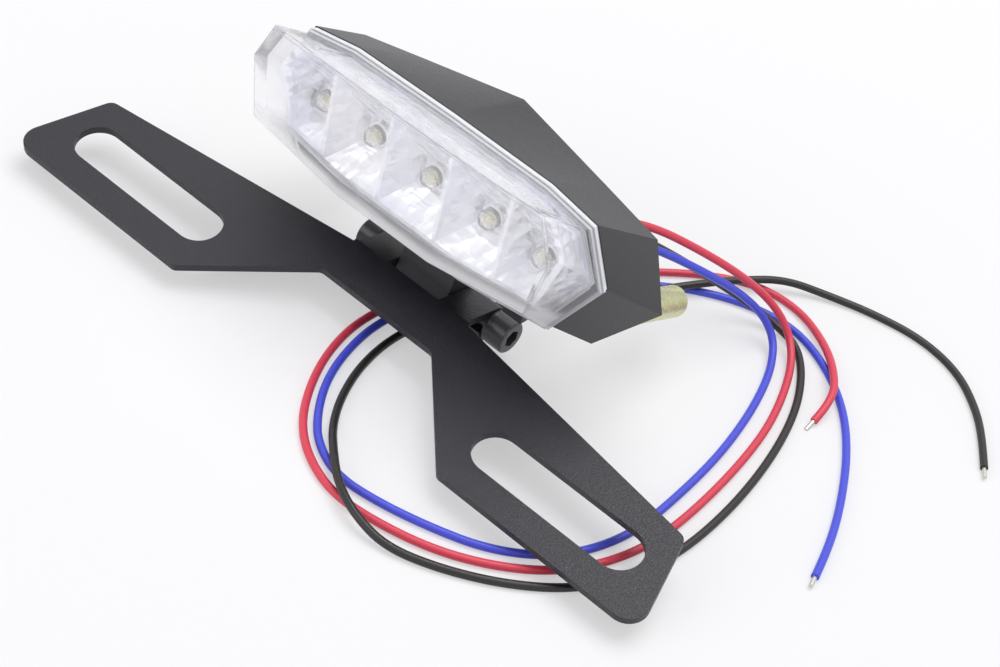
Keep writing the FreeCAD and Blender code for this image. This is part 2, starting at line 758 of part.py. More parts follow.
def make_diode():
    """Moulded diode that guards the board against reversed leads."""
    body = new_body("diode")
    sketch = new_sketch(body, "diode_outline", "XZ_Plane", board_back - size("diode_thickness"))
    half, wide = size("diode_length") / 2, size("diode_width") / 2
    middle_x = -board_half() * 0.5
    middle_z = size("board_high") - size("diode_width") * 1.5
    draw_polygon(sketch, [
        (middle_x - half, middle_z - wide), (middle_x + half, middle_z - wide),
        (middle_x + half, middle_z + wide), (middle_x - half, middle_z + wide),
    ])
    pad(body, "diode_block", sketch, size("diode_thickness"))
    return body


def make_board_screws():
    """Pan-head screws that hold the board to the reflector's posts."""
    shank, head = size("board_screw_radius"), size("board_screw_head_radius")
    length, rise = size("board_screw_length"), size("board_screw_head_length")
    source = turned_body("board_screw_pattern", [
        (0.0, -rise), (head * 0.7, -rise), (head, -rise * 0.6), (head, 0.0),
        (shank, 0.0), (shank, length - shank), (0.0, length),
    ])
    height = size("board_post_height").value
    half = size("board_post_half").value
    places = [facing(FORWARD, Vector(side * half, -board_back.value, height)) for side in (1, -1)]
    return copies("board_screws", source, places)


lean_angle = math.radians(size("rear_lean_deg").value)
REAR_OUT = Vector(0, math.cos(lean_angle), -math.sin(lean_angle))
REAR_UP = Vector(0, math.sin(lean_angle), math.cos(lean_angle))


def rear_point(x, height):
    """A point of the rear face, by its distance along the lamp and up the face."""
    return Vector(x, 0, 0) + REAR_UP * height


def make_studs():
    """Studs set in the thick ends of the housing, with a thread relief at the rear face."""
    root, radius, soft = size("stud_root_radius"), size("stud_radius"), size("stud_chamfer")
    neck, rise = size("stud_neck_radius"), size("stud_neck_rise")
    depth, length = size("stud_embed") - size("thread_clearance"), size("stud_length")
    seat = size("stud_seat") - size("thread_clearance")
    body = turned_body("stud_pattern", [
        (0.0, -depth), (root, -depth), (root, -seat), (neck, -seat), (neck, rise), (radius, rise),
        (radius, length - soft), (radius - soft, length), (0.0, length),
    ])
    half = size("stud_half").value
    places = [facing(REAR_OUT, rear_point(side * half, 0.0)) for side in (1, -1)]
    return copies("mounting_studs", body, places)


def make_grommet():
    """Rubber bush with a flange on each side of the rear wall and a hole for each lead."""
    neck = size("grommet_neck_radius") - size("thread_clearance")
    flange, thick = size("grommet_flange_radius"), size("grommet_flange_thickness")
    wall = size("rear_wall")
    top = -size("thread_clearance")
    body = turned_body("wire_grommet", [
        (0.0, -wall - thick), (flange, -wall - thick), (flange, -wall), (neck, -wall),
        (neck, -thick), (flange, -thick), (flange, top), (0.0, top),
    ])
    holes = new_sketch(body, "lead_holes", "XY_Plane", 0.0)
    for x, y in LEAD_PLACES.values():
        spread = size("lead_spread")
        draw_circle(holes, spread * x, spread * y, size("lead_radius") + size("thread_clearance"))
    pocket(body, "lead_passages", holes, wall + thick * 2)
    place = rear_point(size("outlet_half").value, size("outlet_height").value)
    lean = FreeCAD.Rotation(Vector(1, 0, 0), -90 - size("rear_lean_deg").value)
    body.Placement = FreeCAD.Placement(place, lean)
    return body


def hinge_point(x):
    return Vector(x, -size("hinge_forward").value, -size("hinge_drop").value)


barrel_start = size("knuckle_half") + size("hinge_gap")
barrel_end = barrel_start + size("barrel_width")
washer_start = barrel_end + size("running_clearance")
head_start = washer_start + size("washer_thickness")
SIDES = (Vector(1, 0, 0), Vector(-1, 0, 0))


def make_hinge_screws():
    """Socket cap screws, one from each side, that the bracket turns on."""
    shank, head = size("screw_radius"), size("screw_head_radius")
    length, rise, soft = size("screw_length"), size("screw_head_length"), size("screw_edge_round")
    body = turned_body("hinge_screw_pattern", [
        (0.0, -length), (shank - soft, -length), (shank, -length + soft), (shank, 0.0), (head, 0.0),
        (head, rise - soft), (head - soft, rise), (0.0, rise),
    ])
    sketch = new_sketch(body, "socket_outline", "XY_Plane", rise)
    corner = size("screw_socket_half") / math.cos(math.radians(30))
    points = []
    for number in range(6):
        angle = math.radians(60 * number)
        points.append((corner * math.cos(angle), corner * math.sin(angle)))
    draw_polygon(sketch, points)
    pocket(body, "socket", sketch, size("screw_socket_depth"))
    places = [facing(side, hinge_point(side.x * head_start.value)) for side in SIDES]
    return copies("hinge_screws", body, places)


def make_washers():
    """Lock washers between the screw heads and the bracket's knuckles."""
    inner = size("screw_radius") + size("running_clearance")
    outer, thick = size("washer_radius"), size("washer_thickness")
    body = turned_body("washer_pattern", [(inner, 0.0), (outer, 0.0), (outer, thick), (inner, thick)])
    places = [facing(side, hinge_point(side.x * washer_start.value)) for side in SIDES]
    return copies("hinge_washers", body, places)


def make_inserts():
    """Threaded inserts moulded into the knuckle block for the hinge screws."""
    inner = size("screw_radius") + size("thread_clearance")
    outer, long = size("insert_radius"), size("insert_length")
    body = turned_body("insert_pattern", [(inner, -long), (outer, -long), (outer, 0.0), (inner, 0.0)])
    mouth = size("knuckle_half").value
    places = [facing(side, hinge_point(side.x * mouth)) for side in SIDES]
    return copies("knuckle_inserts", body, places)


def draw_slot(sketch, side):
    """A slot with round ends along the plate's wing."""
    near = (size("wing_inner_half") + size("slot_inner_margin")) * side
    far = (size("plate_end_half") - size("slot_end_margin")) * side
    radius, y = size("slot_radius"), -size("slot_front")
    turn = 0.0 if side > 0 else math.pi
    first = sketch.GeometryCount
    for x, start in ((far, -math.pi / 2 + turn), (near, math.pi / 2 + turn)):
        circle = Part.Circle(Vector(x.value, y.value, 0), Vector(0, 0, 1), radius.value)
        sketch.addGeometry(Part.ArcOfCircle(circle, start, start + math.pi))
    reach = radius.value * side
    for start, end, level in ((far, near, reach), (near, far, -reach)):
        low = Vector(start.value, y.value + level, 0)
        sketch.addGeometry(Part.LineSegment(low, Vector(end.value, y.value + level, 0)))
    for geo, end, other, start in ((0, 2, 2, 1), (2, 2, 1, 1), (1, 2, 3, 1), (3, 2, 0, 1)):
        sketch.addConstraint(Sketcher.Constraint("Tangent", first + geo, end, first + other, start))
    for geo, x in ((0, far), (1, near)):
        hold(sketch, "DistanceX", first + geo, 3, x)
    hold(sketch, "DistanceY", first, 3, y)
    sketch.addConstraint(Sketcher.Constraint("Horizontal", first + 2))
    index = sketch.addConstraint(Sketcher.Constraint("Radius", first, radius.value))
    sketch.setExpression(f"Constraints[{index}]", radius.text)


def make_bracket():
    """Bow-tie sheet with a slot in each wing; two tabs at its back roll round the hinge screws."""
    body = new_body("bracket_sheet")
    rise, thick = size("plate_rise"), size("plate_thickness")
    sheet_outline = new_sketch(body, "sheet_outline", "XY_Plane", rise - thick)
    right = [
        (size("bar_back_half"), -size("bar_back")), (size("bar_back_half"), -size("bar_shoulder")),
        (size("plate_end_half"), -size("plate_end_front")), (size("plate_half"), -size("plate_front")),
        (size("wing_inner_half"), -size("plate_front")), (size("bar_half"), -size("bar_front")),
    ]
    draw_polygon(sheet_outline, right + [(-x, y) for x, y in reversed(right)])
    pad(body, "sheet", sheet_outline, thick)

    def upright_at(x, y):
        """Picks the upright edges at both ends of the sheet by their distance out and forward."""
        return lambda edge: (
            edge.BoundBox.ZLength > thick.value * 0.9
            and abs(abs(edge.BoundBox.XMin) - x.value) < 1e-3
            and abs(edge.BoundBox.YMin + y.value) < 1e-3
        )

    corner_rounds = (
        ("wing_corners", "plate_half", "plate_front", "plate_corner_round"),
        ("end_corners", "plate_end_half", "plate_end_front", "plate_end_round"),
        ("inner_corners", "wing_inner_half", "plate_front", "wing_inner_round"),
        ("bar_corners", "bar_half", "bar_front", "wing_inner_round"),
    )
    for name, half, front, radius in corner_rounds:
        round_edges(body, name, upright_at(size(half), size(front)), size(radius))

    slots = new_sketch(body, "slot_outlines", "XY_Plane", rise)
    draw_slot(slots, 1.0)
    draw_slot(slots, -1.0)
    pocket(body, "slots", slots, thick * 2)

    # Each tab leaves the sheet at a shallow bend and rolls over the top of the hinge axis
    outer = size("screw_radius").value + size("running_clearance").value + thick.value
    inner = outer - thick.value
    bend_y, top_z = -size("bar_back").value, rise.value
    reach = math.hypot(bend_y, top_z)
    fall = math.atan2(top_z, -bend_y) - math.asin(outer / reach)
    start_angle = math.pi / 2 - fall
    end_angle = start_angle - math.radians(size("knuckle_roll_deg").value)
    lap = thick.value / 2
    low_z = (inner - bend_y * math.sin(fall)) / math.cos(fall)

    def ring(radius, angle):
        return Vector(0, radius * math.cos(angle), radius * math.sin(angle))

    middle_angle = (start_angle + end_angle) / 2
    points = [
        Vector(0, bend_y - lap, rise.value - thick.value), Vector(0, bend_y - lap, top_z),
        Vector(0, bend_y, top_z),
        ring(outer, start_angle),
    ]
    edges = [Part.LineSegment(a, b).toShape() for a, b in zip(points, points[1:])]
    outside = [ring(outer, angle) for angle in (start_angle, middle_angle, end_angle)]
    inside = [ring(inner, angle) for angle in (end_angle, middle_angle, start_angle)]
    edges.append(Part.Arc(*outside).toShape())
    edges.append(Part.LineSegment(outside[-1], inside[0]).toShape())
    edges.append(Part.Arc(*inside).toShape())
    low_bend = Vector(0, bend_y, low_z)
    edges.append(Part.LineSegment(ring(inner, start_angle), low_bend).toShape())
    edges.append(Part.LineSegment(low_bend, points[0]).toShape())
    profile = Part.Face(Part.Wire(edges))
    tab = profile.extrude(Vector(size("barrel_width").value, 0, 0))
    tabs = []
    for start in (barrel_start.value, -barrel_end.value):
        shape = tab.copy()
        shape.translate(Vector(start, 0, 0))
        tabs.append(shape)
    doc.recompute()
    whole = body.Shape.fuse(tabs).removeSplitter()
    node = plain_node("plate_bracket", whole.Solids[0] if len(whole.Solids) == 1 else whole)
    spin = FreeCAD.Rotation(Vector(1, 0, 0), size("plate_lean_deg").value)
    node.Placement = FreeCAD.Placement(hinge_point(0), spin)
    return node


def rounded_path(points):
    """Straight runs joined by tangent arcs, each as large as its two runs allow; also the radii."""
    edges, radii = [], []
    last = points[0]
    for before, corner, after in zip(points, points[1:], points[2:]):
        run_in, run_out = corner - before, after - corner
        turn = run_in.getAngle(run_out)
        reach = 0.45 * min(run_in.Length, run_out.Length)
        radii.append(reach / math.tan(turn / 2))
        step_in, step_out = Vector(run_in).normalize(), Vector(run_out).normalize()
        start, end = corner - step_in * reach, corner + step_out * reach
        bulge = (step_out - step_in).normalize()
        depth = radii[-1] / math.cos(turn / 2) - radii[-1]
        edges.append(Part.LineSegment(last, start).toShape())
        edges.append(Part.Arc(start, corner + bulge * depth, end).toShape())
        last = end
    edges.append(Part.LineSegment(last, points[-1]).toShape())
    return Part.Wire(edges), radii


def lead_points(colour):
    """The lead's route from the back of the board, through the grommet and over the surface."""
    across, up = LEAD_PLACES[colour]
    spread = size("lead_spread").value
    x = size("outlet_half").value + across * spread
    mouth = rear_point(x, size("outlet_height").value - up * spread)
    inside = mouth - REAR_OUT * size("lead_inside").value
    depth = (inside.y + board_back.value - size("lead_board_gap").value) / REAR_OUT.y
    start = inside - REAR_OUT * depth + REAR_UP * size("lead_slack").value
    exit_point = mouth + REAR_OUT * size("lead_outside").value
    drop = Vector(0, size("seat_back").value, size("floor_drop").value)
    return [start, inside, exit_point] + [Vector(point) - drop for point in LEAD_ROUTES[colour]]


def make_lead(colour):
    """An insulated lead and the bare strands at its free end."""
    points = lead_points(colour)
    path, radii = rounded_path(points)
    radius = size("lead_radius").value
    begin = (points[1] - points[0]).normalize()
    ring = Part.Wire(Part.makeCircle(radius, points[0], begin))
    tube = path.makePipeShell([ring], True, False)
    wanted = math.pi * radius ** 2 * path.Length
    print(f"{colour} lead: length {path.Length:.1f}, volume share {tube.Volume / wanted:.4f}")
    print("  radii", " ".join(f"{value:.0f}" for value in radii))
    lead = plain_node(f"{colour}_wire", tube)
    end = (points[-1] - points[-2]).normalize()
    tip = Part.makeCylinder(size("strand_radius").value, size("strand_length").value, points[-1], end)
    return [lead, plain_node(f"{colour}_strands", tip)]


nodes = [
    make_bracket(), make_hinge_screws(), make_washers(), make_inserts(), make_housing(), make_lens(),
    make_gasket(), make_reflector(), make_board(), make_leds(), make_resistors(), make_diode(),
    make_board_screws(), make_studs(), make_grommet(),
]
for colour in LEAD_ROUTES:
    nodes += make_lead(colour)
doc.recompute()

for thing in doc.Objects:
    if "Invalid" in thing.State or "Error" in thing.State:
        raise RuntimeError(f"{thing.Label} failed: {thing.State}")
os.makedirs("parts", exist_ok=True)
for node in nodes:
    if node.Shape.isNull() or not node.Shape.isValid():
        raise RuntimeError(f"{node.Label} has no valid shape")
for node in nodes:
    node.Shape.exportStep(f"parts/{node.Label}.step")
    print(node.Label, len(node.Shape.Solids), "solids", round(node.Shape.Volume, 1), "mm3")
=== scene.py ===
"""Looks of a tail light with a hinged plate holder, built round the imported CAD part."""

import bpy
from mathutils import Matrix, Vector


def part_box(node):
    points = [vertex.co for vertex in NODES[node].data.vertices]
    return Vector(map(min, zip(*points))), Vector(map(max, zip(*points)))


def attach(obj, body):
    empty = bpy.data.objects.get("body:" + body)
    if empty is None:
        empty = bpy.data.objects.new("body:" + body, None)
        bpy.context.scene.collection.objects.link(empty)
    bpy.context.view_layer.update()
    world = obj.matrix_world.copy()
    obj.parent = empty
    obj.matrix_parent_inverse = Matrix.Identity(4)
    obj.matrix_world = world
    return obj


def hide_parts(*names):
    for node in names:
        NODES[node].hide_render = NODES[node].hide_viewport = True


bl_info = {
    "name": "Tail light with plate holder",
    "version": (1, 0, 0),
    "blender": (4, 5, 0),
    "location": "3D Viewport > Sidebar > Tail light",
    "description": "Finishes the lamp, its bracket and its leads, and sets them on a white table",
    "category": "Object",
}

import math

import bpy
from bpy.props import FloatProperty, FloatVectorProperty, PointerProperty
from bpy.types import Operator, Panel, PropertyGroup
from mathutils import Matrix, Vector

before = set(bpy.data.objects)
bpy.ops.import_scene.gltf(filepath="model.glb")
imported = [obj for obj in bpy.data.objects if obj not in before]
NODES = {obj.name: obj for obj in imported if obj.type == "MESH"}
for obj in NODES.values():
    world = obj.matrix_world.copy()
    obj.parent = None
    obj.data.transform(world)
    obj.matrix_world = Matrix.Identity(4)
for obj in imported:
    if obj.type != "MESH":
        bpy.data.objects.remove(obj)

# Lengths below are in millimetres
MM = 0.001

# The table under the lamp, and how far the rear face's middle is behind the bracket's bend line
TABLE_DROP = 27.9
SEAT_BACK = 14.5
REAR_LEAN = math.radians(23.0)
REAR_OUT = Vector((0, math.cos(REAR_LEAN), -math.sin(REAR_LEAN)))
REAR_UP = Vector((0, math.sin(REAR_LEAN), math.cos(REAR_LEAN)))

# Routes of the leads: along the lamp, behind the bend line, over the table
LEAD_ROUTES = {
    "red": [
        (27.5, 32.0, 35.5), (34.0, 41.0, 33.2), (43.0, 50.5, 27.3), (50.5, 60.0, 20.0),
        (56.5, 68.5, 11.5), (62.5, 71.0, 4.8), (68.5, 66.0, 1.7), (74.0, 55.0, 1.05),
        (78.8, 41.0, 1.05), (82.0, 23.0, 1.05), (83.7, 4.0, 1.05), (83.5, -11.0, 1.05),
        (80.0, -24.0, 1.05), (74.0, -34.5, 1.05), (65.0, -43.0, 1.05), (54.0, -49.6, 1.05),
        (41.0, -53.6, 1.05), (28.5, -55.2, 1.05), (17.5, -51.5, 1.05), (9.0, -45.2, 1.05),
        (2.0, -35.5, 1.05), (-3.5, -24.0, 1.05), (-6.5, -11.0, 1.05), (-5.5, 3.0, 1.05),
        (-1.0, 17.0, 1.05), (6.5, 33.0, 1.05), (15.5, 48.5, 1.05), (25.5, 63.5, 1.05),
        (36.0, 75.5, 1.05), (46.5, 82.8, 1.05), (58.5, 83.6, 1.05), (69.5, 78.2, 1.7),
        (78.2, 69.6, 3.6), (84.0, 61.0, 3.6), (84.2, 53.4, 1.1),
    ],
    "blue": [
        (31.0, 31.5, 32.8), (38.0, 40.5, 28.8), (46.5, 50.5, 22.5), (52.0, 60.0, 15.2),
        (56.8, 66.5, 8.0), (61.5, 66.8, 3.3), (66.0, 60.8, 1.3), (69.9, 51.5, 1.05),
        (73.6, 39.0, 1.05), (76.8, 23.0, 1.05), (78.5, 4.0, 1.05), (78.8, -11.0, 1.05),
        (75.5, -23.5, 1.05), (69.5, -33.0, 1.05), (60.5, -40.5, 1.05), (49.5, -45.2, 1.05),
        (37.0, -49.0, 1.05), (25.5, -50.6, 1.05), (15.8, -46.8, 1.05), (9.0, -40.0, 1.05),
        (3.0, -31.0, 1.05), (-1.0, -20.5, 1.05), (-3.2, -8.5, 1.05), (-2.2, 4.5, 1.05),
        (2.5, 17.5, 1.05), (10.5, 33.0, 1.05), (20.0, 48.0, 1.05), (29.5, 60.5, 1.05),
        (39.5, 69.3, 1.05), (50.5, 75.0, 1.05), (62.5, 76.8, 1.05), (75.0, 71.8, 1.05),
        (86.5, 63.0, 1.05), (96.0, 51.0, 1.05), (104.5, 36.0, 1.05), (110.5, 22.5, 1.05),
        (113.7, 12.3, 1.05),
    ],
    "black": [
        (24.5, 33.0, 31.0), (28.5, 43.5, 25.5), (35.0, 53.5, 18.5), (42.3, 62.5, 11.5),
        (50.0, 69.8, 5.5), (57.5, 73.0, 2.0), (65.5, 72.2, 1.05), (72.5, 65.0, 1.05),
        (79.5, 52.5, 1.05), (85.0, 35.0, 1.05), (88.6, 14.5, 1.05), (89.5, -6.0, 1.05),
        (86.5, -22.5, 1.05), (80.0, -35.0, 1.05), (70.0, -45.0, 1.05), (58.0, -52.8, 1.05),
        (46.5, -57.6, 1.4), (37.0, -57.6, 3.5), (28.5, -54.0, 3.8), (20.5, -47.2, 3.5),
        (13.8, -40.0, 1.4), (8.5, -31.5, 1.05), (4.4, -21.0, 1.05), (2.4, -9.0, 1.05),
        (3.5, 4.0, 1.05), (8.0, 17.0, 1.05), (15.5, 32.0, 1.05), (23.5, 46.0, 1.05),
        (30.0, 55.5, 1.6), (36.0, 64.5, 3.6), (43.0, 77.0, 3.8), (50.0, 87.2, 3.6),
        (59.5, 94.2, 1.4), (71.0, 98.8, 1.05), (84.5, 101.3, 1.05), (97.5, 98.6, 1.05),
        (108.0, 90.8, 1.05), (115.2, 82.4, 1.05), (120.4, 74.8, 1.05),
    ],
}
# The grommet's place on the rear face, and each lead's place in it in spreads
OUTLET = (24.0, 11.0)
LEAD_SPREAD = 1.6
LEAD_PLACES = {"red": (0.0, -1.0), "blue": (0.9, 0.6), "black": (-0.9, 0.6)}
# A lead starts this far inside the rear face and runs straight this far out of it
LEAD_SUNK, LEAD_STRAIGHT = 1.0, 4.5

# The five lights along the lamp, and how far their cells' backs are behind the reflector's front
LIGHT_PLACES = (-33.4, -17.6, 0.0, 17.6, 33.4)
DOME_RADIUS = 2.4
CELL_DEPTH = 8.0
# The cup in each light: its place behind the dome's tip in dome radii, then its sizes
CUP_SEAT = 1.15
CUP_RADIUS, CUP_LIP, CUP_SLOPE, CUP_DEPTH, CUP_WALL = 1.9, 0.3, 0.6, 0.7, 0.15
# The phosphor square: its side, thickness as a share of that, place behind the cup's mouth and rounding
PHOSPHOR_SIDE, PHOSPHOR_THICKNESS, PHOSPHOR_SEAT, PHOSPHOR_ROUND = 1.0, 0.25, 0.55, 0.08
# The collar that fills the opening round each dome
COLLAR_RADIUS, COLLAR_GAP, COLLAR_CONE, COLLAR_WALL = 3.15, 0.05, 0.15, 0.4
# New pieces look smooth over corners below this angle, and CAD edges above the other one are rounded
SMOOTH_BELOW = math.radians(30)
ROUND_ABOVE = math.radians(24)
GROMMET_EDGE, SCREW_EDGE, WASHER_EDGE, STUD_EDGE = 0.3, 0.2, 0.15, 0.3

# The lens's lower wall: its fall to the rear, its height in the rear face's plane, its rise to the ends
LOWER_WALL_LEAN = 0.74
LOWER_WALL_FOOT = -13.4
SOLE_HALF, HEEL_HALF, HEEL_RISE = 14.0, 41.7, 4.6
# Heights over the lower wall between which its haze fades out
HAZE_FULL, HAZE_GONE = 1.5, 4.5
# Where the lens's rim and its front face's ends begin, and how quickly their haze fades
RIM_FRONT = -17.3
FACE_END, FACE_END_FADE = 38.5, 2.0
FACE_BACK = -32.7
STEP_FADE = 0.4
# How clear the hazy wall and rim, the face's ends and the painted edge lines are
WALL_CLEAR, FACE_CLEAR, EDGE_CLEAR = 0.3, 0.72, 0.3
# The lens's painted edge lines, pale grey in place of the light bent and caught at its edges: the plane
# each lies in and half its width, then the share of that which is solid
EDGE_PLANES = ((-16.2, 0.12), (-17.0, 0.12), (-32.3, 0.14), (-32.86, 0.1))
EDGE_CORE = 0.6
# Share of the view that passes straight through the lens's thin wall
STRAIGHT_SHARE = 0.18

# Noise mostly lies between these values
NOISE_LOW, NOISE_HIGH = 0.3, 0.7
# Distance between the studs' turning lines, and the radians that a wave texture turns in one unit
TURNING_PITCH = 0.25
WAVE_RATE = 20

# The photograph's view, and the lights' places and sizes, in metres
CAMERA_PLACE = Vector((0.2341, -0.3585, 0.3406))
CAMERA_RIGHT = Vector((0.7378, 0.6463, 0.1946))
CAMERA_UP = Vector((-0.5513, 0.4108, 0.7261))
CAMERA_LENS, CAMERA_SENSOR = 84.05, 36.0
OVERHEAD_PLACE, OVERHEAD_WIDTH = (0.05, 0.3, 1.1), 0.9
FRONT_PLACE, FRONT_WIDTH = (-0.5, -1.1, 0.6), 0.8
TABLE_SIDE = 6


def linear(code):
    """An sRGB hex colour as the linear RGBA that shader sockets take."""
    values = [int(code[start:start + 2], 16) / 255 for start in (1, 3, 5)]
    return [v / 12.92 if v <= 0.04045 else ((v + 0.055) / 1.055) ** 2.4 for v in values] + [1.0]


def shaded(colour, factor):
    """The same linear colour, brighter or darker."""
    return [min(1.0, value * factor) for value in colour[:3]] + [1.0]


def per_mm(size):
    """The texture scale whose spots are about this many millimetres across."""
    return 1 / (size * MM)


def add_node(tree, kind, inputs=None, **settings):
    """Adds one shader node, sets its properties and fills its sockets with values or links."""
    node = tree.nodes.new(kind)
    for name, value in settings.items():
        setattr(node, name, value)
    for name, value in (inputs or {}).items():
        if isinstance(value, bpy.types.NodeSocket):
            tree.links.new(value, node.inputs[name])
        else:
            node.inputs[name].default_value = value
    return node


def new_material(name):
    """An empty material, its node tree and the piece's own coordinates."""
    material = bpy.data.materials.new(name)
    material.use_nodes = True
    tree = material.node_tree
    tree.nodes.clear()
    return material, tree, add_node(tree, "ShaderNodeTexCoord").outputs["Object"]


def grained(name, colour, shade, grain, depth, rough, metallic=0.0):
    """A material with a fine grain: its colour, its roughness and its surface all follow one noise."""
    material, tree, place = new_material(name)
    spots = add_node(tree, "ShaderNodeTexNoise", {
        "Vector": place, "Scale": per_mm(grain), "Detail": 3.0,
    }).outputs[0]
    tint = add_node(tree, "ShaderNodeMix", {
        0: spots, 6: shaded(colour, 1 / shade), 7: shaded(colour, shade),
    }, data_type="RGBA").outputs[2]
    sheen = add_node(tree, "ShaderNodeMapRange", {
        "Value": spots, "From Min": NOISE_LOW, "From Max": NOISE_HIGH,
        "To Min": rough[0], "To Max": rough[1],
    }).outputs[0]
    surface = add_node(tree, "ShaderNodeBump", {
        "Height": spots, "Distance": depth * MM, "Strength": 1.0,
    }).outputs[0]
    shader = add_node(tree, "ShaderNodeBsdfPrincipled", {
        "Base Color": tint, "Roughness": sheen, "Normal": surface, "Metallic": metallic,
    })
    add_node(tree, "ShaderNodeOutputMaterial", {"Surface": shader.outputs[0]})
    return material


def glassy(name, colour, ior, clear, rough, moulded=False):
    """A clear plastic that bends the view and lets the lamps reach what is behind it.
    With painted edges and haze it gets pale, less clear painted lines along its edges in place of the light
    bent and caught there, and the lens's haze."""
    material, tree, place = new_material(name)
    skin, straight_share = colour, 0.0
    if moulded:
        # Painted light: pale grey, less clear lines along the lens's edges stand in for the light bent and
        # caught there
        edges = painted_edge_lines(tree, place)
        skin = add_node(tree, "ShaderNodeMix", {
            0: edges, 6: colour, 7: linear("#cfd0d7"),
        }, data_type="RGBA").outputs[2]
        edge_clear = add_node(tree, "ShaderNodeMapRange", {
            "Value": edges, "To Min": 1.0, "To Max": EDGE_CLEAR,
        }).outputs[0]
        clear = add_node(tree, "ShaderNodeMath", {
            0: hazed(tree, place, clear), 1: edge_clear,
        }, operation="MINIMUM").outputs[0]
        straight_share = STRAIGHT_SHARE
    # Faint clouds about 6 mm across
    clouds = add_node(tree, "ShaderNodeTexNoise", {
        "Vector": place, "Scale": per_mm(6.0), "Detail": 1.0,
    }).outputs[0]
    polish = add_node(tree, "ShaderNodeMapRange", {
        "Value": clouds, "From Min": NOISE_LOW, "From Max": NOISE_HIGH,
        "To Min": rough, "To Max": rough * 2,
    }).outputs[0]
    body = add_node(tree, "ShaderNodeBsdfPrincipled", {
        "Base Color": skin, "Roughness": polish, "IOR": ior, "Transmission Weight": clear,
        "Coat Weight": 0.4, "Coat Roughness": 0.04,
    })
    passing = add_node(tree, "ShaderNodeBsdfTransparent", {"Color": colour})
    ray = add_node(tree, "ShaderNodeLightPath")
    straight = add_node(tree, "ShaderNodeMapRange", {
        "Value": ray.outputs["Is Shadow Ray"], "To Min": straight_share,
    }).outputs[0]
    both = add_node(tree, "ShaderNodeMixShader", {
        0: straight, 1: body.outputs[0], 2: passing.outputs[0],
    })
    add_node(tree, "ShaderNodeOutputMaterial", {"Surface": both.outputs[0]})
    return material


def hazed(tree, place, clear):
    """How clear the lens is: less along its lower wall, its rim and its face's ends."""
    axes = add_node(tree, "ShaderNodeSeparateXYZ", {0: place}).outputs
    off_middle = add_node(tree, "ShaderNodeMath", {0: axes["X"]}, operation="ABSOLUTE").outputs[0]
    lean = add_node(tree, "ShaderNodeMath", {
        0: axes["Y"], 1: LOWER_WALL_LEAN,
    }, operation="MULTIPLY").outputs[0]
    height = add_node(tree, "ShaderNodeMath", {0: axes["Z"], 1: lean}, operation="ADD").outputs[0]
    rise = add_node(tree, "ShaderNodeMapRange", {
        "Value": off_middle, "From Min": SOLE_HALF * MM, "From Max": HEEL_HALF * MM,
        "To Min": 0.0, "To Max": HEEL_RISE * MM,
    }).outputs[0]
    above = add_node(tree, "ShaderNodeMath", {0: height, 1: rise}, operation="SUBTRACT").outputs[0]
    wall = add_node(tree, "ShaderNodeMapRange", {
        "Value": above,
        "From Min": (LOWER_WALL_FOOT + HAZE_FULL) * MM, "From Max": (LOWER_WALL_FOOT + HAZE_GONE) * MM,
        "To Min": WALL_CLEAR, "To Max": clear,
    }).outputs[0]
    rim = add_node(tree, "ShaderNodeMapRange", {
        "Value": axes["Y"], "From Min": RIM_FRONT * MM, "From Max": (RIM_FRONT + STEP_FADE) * MM,
        "To Min": clear, "To Max": WALL_CLEAR,
    }).outputs[0]
    end = add_node(tree, "ShaderNodeMapRange", {
        "Value": off_middle, "From Min": FACE_END * MM, "From Max": (FACE_END + FACE_END_FADE) * MM,
        "To Min": clear, "To Max": FACE_CLEAR,
    }).outputs[0]
    behind = add_node(tree, "ShaderNodeMapRange", {
        "Value": axes["Y"], "From Min": FACE_BACK * MM, "From Max": (FACE_BACK + STEP_FADE) * MM,
        "To Min": WALL_CLEAR, "To Max": clear,
    }).outputs[0]
    face = add_node(tree, "ShaderNodeMath", {0: end, 1: behind}, operation="MAXIMUM").outputs[0]
    sides = add_node(tree, "ShaderNodeMath", {0: wall, 1: face}, operation="MINIMUM").outputs[0]
    return add_node(tree, "ShaderNodeMath", {0: sides, 1: rim}, operation="MINIMUM").outputs[0]


def painted_edge_lines(tree, place):
    """A factor that is 1 along the lens's edges, which lie in planes square to its axis, where lines are
    painted in place of the light bent and caught there.
    """
    depth = add_node(tree, "ShaderNodeSeparateXYZ", {0: place}).outputs["Y"]
    total = 0.0
    for plane, half in EDGE_PLANES:
        offset = add_node(tree, "ShaderNodeMath", {
            0: depth, 1: -plane * MM,
        }, operation="ADD").outputs[0]
        away = add_node(tree, "ShaderNodeMath", {0: offset}, operation="ABSOLUTE").outputs[0]
        line = add_node(tree, "ShaderNodeMapRange", {
            "Value": away, "From Min": half * EDGE_CORE * MM, "From Max": half * MM,
            "To Min": 1.0, "To Max": 0.0,
        }).outputs[0]
        total = add_node(tree, "ShaderNodeMath", {0: line, 1: total}, operation="MAXIMUM").outputs[0]
    return total


def paint(node, material):
    """Gives a CAD node one material."""
    data = NODES[node].data
    data.materials.clear()
    data.materials.append(material)


def only(thing):
    """Selects one object and makes it active."""
    bpy.ops.object.select_all(action="DESELECT")
    thing.select_set(True)
    bpy.context.view_layer.objects.active = thing


def soften(node, width):
    """Rounds the sharp edges of a CAD node as it shows, so that they catch the light."""
    thing = NODES[node]
    weld = thing.modifiers.new("Join corners", "WELD")
    weld.merge_threshold = 1e-6
    bevel = thing.modifiers.new("Round edges", "BEVEL")
    bevel.width = width
    bevel.segments = 2
    bevel.limit_method = "ANGLE"
    bevel.angle_limit = ROUND_ABOVE
    bevel.use_clamp_overlap = True
    level = thing.modifiers.new("Keep faces flat", "WEIGHTED_NORMAL")
    level.keep_sharp = False
    level.weight = 100


def rear_point(across, up):
    """A point of the rear face in metres, from millimetres along the lamp and up the face."""
    return (Vector((across, 0, 0)) + REAR_UP * up) * MM


